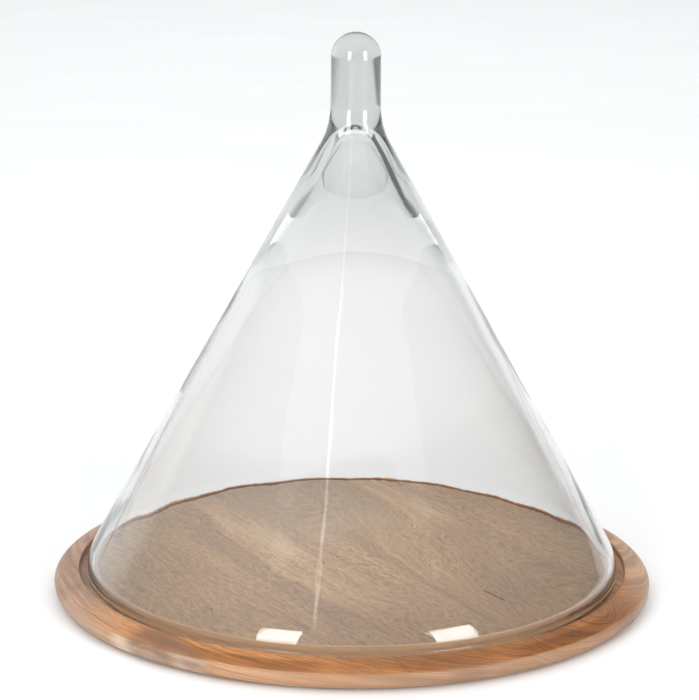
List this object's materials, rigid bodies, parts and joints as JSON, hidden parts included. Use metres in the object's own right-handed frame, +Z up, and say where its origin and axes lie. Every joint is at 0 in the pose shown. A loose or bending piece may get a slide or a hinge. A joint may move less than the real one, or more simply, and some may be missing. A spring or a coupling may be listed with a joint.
{
  "type": "bell jar dome",
  "caption": "Conical clear glass bell with a solid glass finger knob, standing in a groove of a round turned wooden base, for covering and displaying an object or food.",
  "frame": {"origin": "centre of the surface that the object stands on, on the dome's axis, at the foot pads' lower faces", "axes": "+Z up along the dome's axis, +X to the right and +Y away from the viewer; the object is round about Z"},
  "size_m": [0.3599, 0.36, 0.333],
  "materials": {
    "wood": "satin oiled hardwood slab with streaky grain",
    "glass": "clear hand-blown glass, slightly wavy, fire-polished edge",
    "felt": "dark brown wool felt"
  },
  "bodies": {
    "base": {"wooden_base": "wood", "foot_pad_1": "felt", "foot_pad_2": "felt", "foot_pad_3": "felt", "foot_pad_4": "felt"},
    "dome": {"glass_bell": "glass", "glass_finial": "glass"}
  },
  "joints": [
    {"name": "dome_lift", "type": "slide", "parent": "base", "child": "dome", "axis": [0, 0, 1], "range_m": [0, 0.3]}
  ]
}
